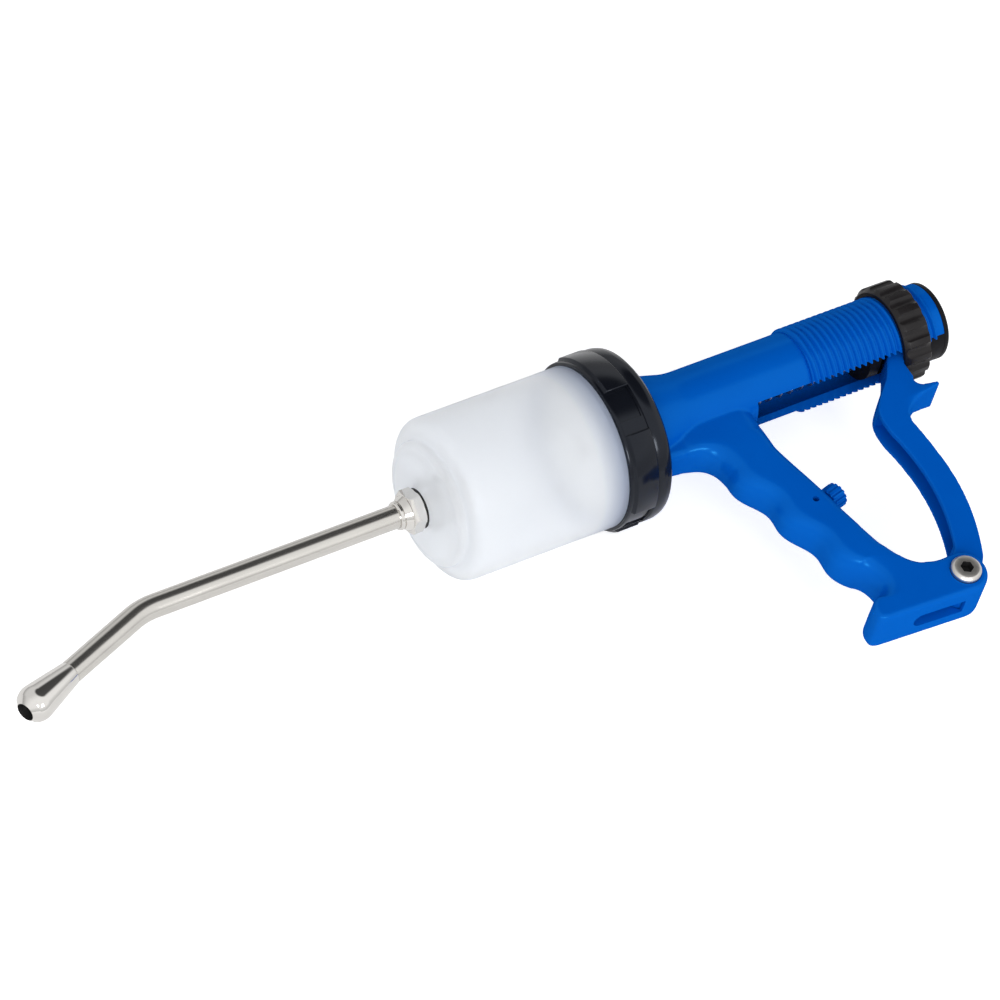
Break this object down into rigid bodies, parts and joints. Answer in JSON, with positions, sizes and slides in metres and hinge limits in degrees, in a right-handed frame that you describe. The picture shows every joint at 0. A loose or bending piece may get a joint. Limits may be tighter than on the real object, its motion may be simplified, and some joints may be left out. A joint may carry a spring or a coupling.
{
  "type": "livestock drencher",
  "caption": "Lever-operated livestock drencher with blue pistol handle, translucent measuring cylinder, black coupling ring, dose nut and bent steel drench tube.",
  "frame": {"origin": "centre of the bounding box at its lowest level, where the coupling ring's pads rest when the gun lies on its right side", "axes": "+X along the barrel to the tail (nozzle to -X), +Y to the gun's top (handle to -Y), +Z to the gun's left side, which is up as it lies"},
  "size_m": [0.446, 0.1692, 0.0756],
  "materials": {
    "blue_plastic": "glossy moulded polypropylene",
    "clear_plastic": "frosted translucent polypropylene",
    "black_plastic": "glossy moulded nylon",
    "white_plastic": "satin acetal",
    "black_rubber": "matt nitrile",
    "chrome": "bright nickel-chrome plate",
    "stainless": "satin drawn stainless tube",
    "spring_steel": "drawn wire",
    "brass": "turned"
  },
  "bodies": {
    "gun": {"body": "blue_plastic", "measuring_cylinder": "clear_plastic", "cylinder_ring": "black_plastic", "cylinder_gasket": "black_rubber", "rod_bush": "white_plastic", "rod_seal": "black_rubber", "tube_nipple": "chrome", "tube_seal": "black_rubber", "tube_nut": "chrome", "drench_tube": "stainless", "nozzle_tip": "chrome", "end_plug": "black_plastic", "pivot_bolt": "chrome", "pivot_sleeve": "brass", "pivot_nut": "chrome", "stop_insert": "brass", "return_spring": "spring_steel"},
    "piston": {"piston_front_disc": "white_plastic", "piston_seal": "black_rubber", "piston_back_disc": "white_plastic", "piston_screw": "chrome", "piston_rod": "stainless", "crosshead": "black_plastic", "crosshead_pin": "spring_steel"},
    "squeeze_lever": {"lever": "blue_plastic"},
    "dose_stop": {"dose_washer": "black_plastic"},
    "dose_nut": {"dose_nut": "black_plastic"},
    "stop_stud": {"stop_stud": "chrome"},
    "stop_knob": {"stop_knob": "blue_plastic"}
  },
  "joints": [
    {"name": "lever_squeeze", "type": "hinge", "parent": "gun", "child": "squeeze_lever", "pos_m": [0.16063, -0.0748, 0.0378], "axis": [0, 0, 1], "range_deg": [0, 27.5]},
    {"name": "piston_slide", "type": "slide", "parent": "gun", "child": "piston", "axis": [-1, 0, 0], "range_m": [0, 0.06085], "stiffness_N_per_m": 250, "springref_m": -0.04, "deforming": ["return_spring"]},
    {"name": "dose_spin", "type": "hinge", "parent": "dose_stop", "child": "dose_nut", "pos_m": [0.20063, 0.0468, 0.0378], "axis": [1, 0, 0], "range_deg": [0, 720]},
    {"name": "dose_travel", "type": "slide", "parent": "gun", "child": "dose_stop", "axis": [1, 0, 0], "range_m": [0, 0.006]},
    {"name": "stop_spin", "type": "hinge", "parent": "stop_stud", "child": "stop_knob", "pos_m": [0.13096, -0.0172, 0.0378], "axis": [0.9673, 0.2534, 0], "range_deg": [0, 1440]},
    {"name": "stop_travel", "type": "slide", "parent": "gun", "child": "stop_stud", "axis": [0.9673, 0.2534, 0], "range_m": [0, 0.0032]}
  ],
  "couplings": [
    {"joint": "lever_squeeze", "follows": "piston_slide", "rad_per_m": 7.8827},
    {"joint": "dose_spin", "follows": "dose_travel", "rad_per_m": 2094.4},
    {"joint": "stop_spin", "follows": "stop_travel", "rad_per_m": 7853.9}
  ]
}
